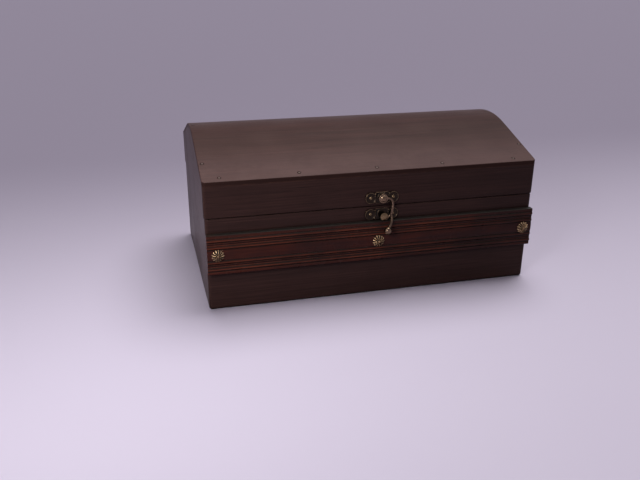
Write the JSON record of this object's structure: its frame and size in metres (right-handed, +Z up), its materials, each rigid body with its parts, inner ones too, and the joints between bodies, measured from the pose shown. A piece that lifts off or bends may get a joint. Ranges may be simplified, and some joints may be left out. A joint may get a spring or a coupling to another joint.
{
  "type": "wooden puzzle box",
  "caption": "Wooden puzzle box with a hinged roof-shaped lid, a swinging brass latch, a reeded front moulding and a hidden drawer in its base.",
  "frame": {"origin": "middle of the case's underside, on the surface that it stands on", "axes": "+X along the front to the right, -Y out of the front, +Z up"},
  "size_m": [0.251, 0.1802, 0.1178],
  "materials": {
    "stained_wood": "satin lacquer over dark stain",
    "mahogany": "satin lacquer",
    "bare_wood": "bare",
    "turned_peg": "waxed",
    "aged_brass": "aged",
    "steel_brad": "dull"
  },
  "bodies": {
    "case": {"case_front": "stained_wood", "case_back": "stained_wood", "case_left_end": "stained_wood", "case_right_end": "stained_wood", "case_bottom": "bare_wood", "compartment_floor": "bare_wood", "drawer_guide_left": "bare_wood", "drawer_guide_right": "bare_wood", "drawer_stop": "bare_wood", "peg_block": "bare_wood", "front_moulding": "mahogany", "tack_left": "aged_brass", "tack_centre": "aged_brass", "tack_right": "aged_brass", "latch_keeper_plate": "aged_brass", "latch_stud": "aged_brass", "keeper_nails": "aged_brass", "hinge_left_case_leaf": "aged_brass", "hinge_right_case_leaf": "aged_brass", "hinge_left_pin": "aged_brass", "hinge_right_pin": "aged_brass", "hinge_case_screws": "aged_brass"},
    "lid": {"lid_front": "stained_wood", "lid_back": "stained_wood", "lid_left_end": "stained_wood", "lid_right_end": "stained_wood", "lid_roof": "stained_wood", "lid_brads": "steel_brad", "latch_hook_plate": "aged_brass", "latch_rivet": "aged_brass", "hook_plate_nails": "aged_brass", "hinge_left_lid_leaf": "aged_brass", "hinge_right_lid_leaf": "aged_brass", "hinge_lid_screws": "aged_brass"},
    "hook": {"latch_hook": "aged_brass"},
    "drawer": {"drawer_front": "stained_wood", "drawer_left_side": "bare_wood", "drawer_right_side": "bare_wood", "drawer_back": "bare_wood", "drawer_bottom": "bare_wood"},
    "lock_peg": {"lock_peg": "turned_peg"}
  },
  "joints": [
    {"name": "lid_hinge", "type": "hinge", "parent": "case", "child": "lid", "pos_m": [0, 0.0822, 0.0692], "axis": [-1, 0, 0], "range_deg": [0, 100]},
    {"name": "hook_swing", "type": "hinge", "parent": "lid", "child": "hook", "pos_m": [0.003, -0.08305, 0.0757], "axis": [0, -1, 0], "range_deg": [-8, 100]},
    {"name": "drawer_slide", "type": "slide", "parent": "case", "child": "drawer", "axis": [0, -1, 0], "range_m": [0, 0.125]},
    {"name": "peg_slide", "type": "slide", "parent": "case", "child": "lock_peg", "axis": [0, 0, 1], "range_m": [-0.007, 0]}
  ]
}
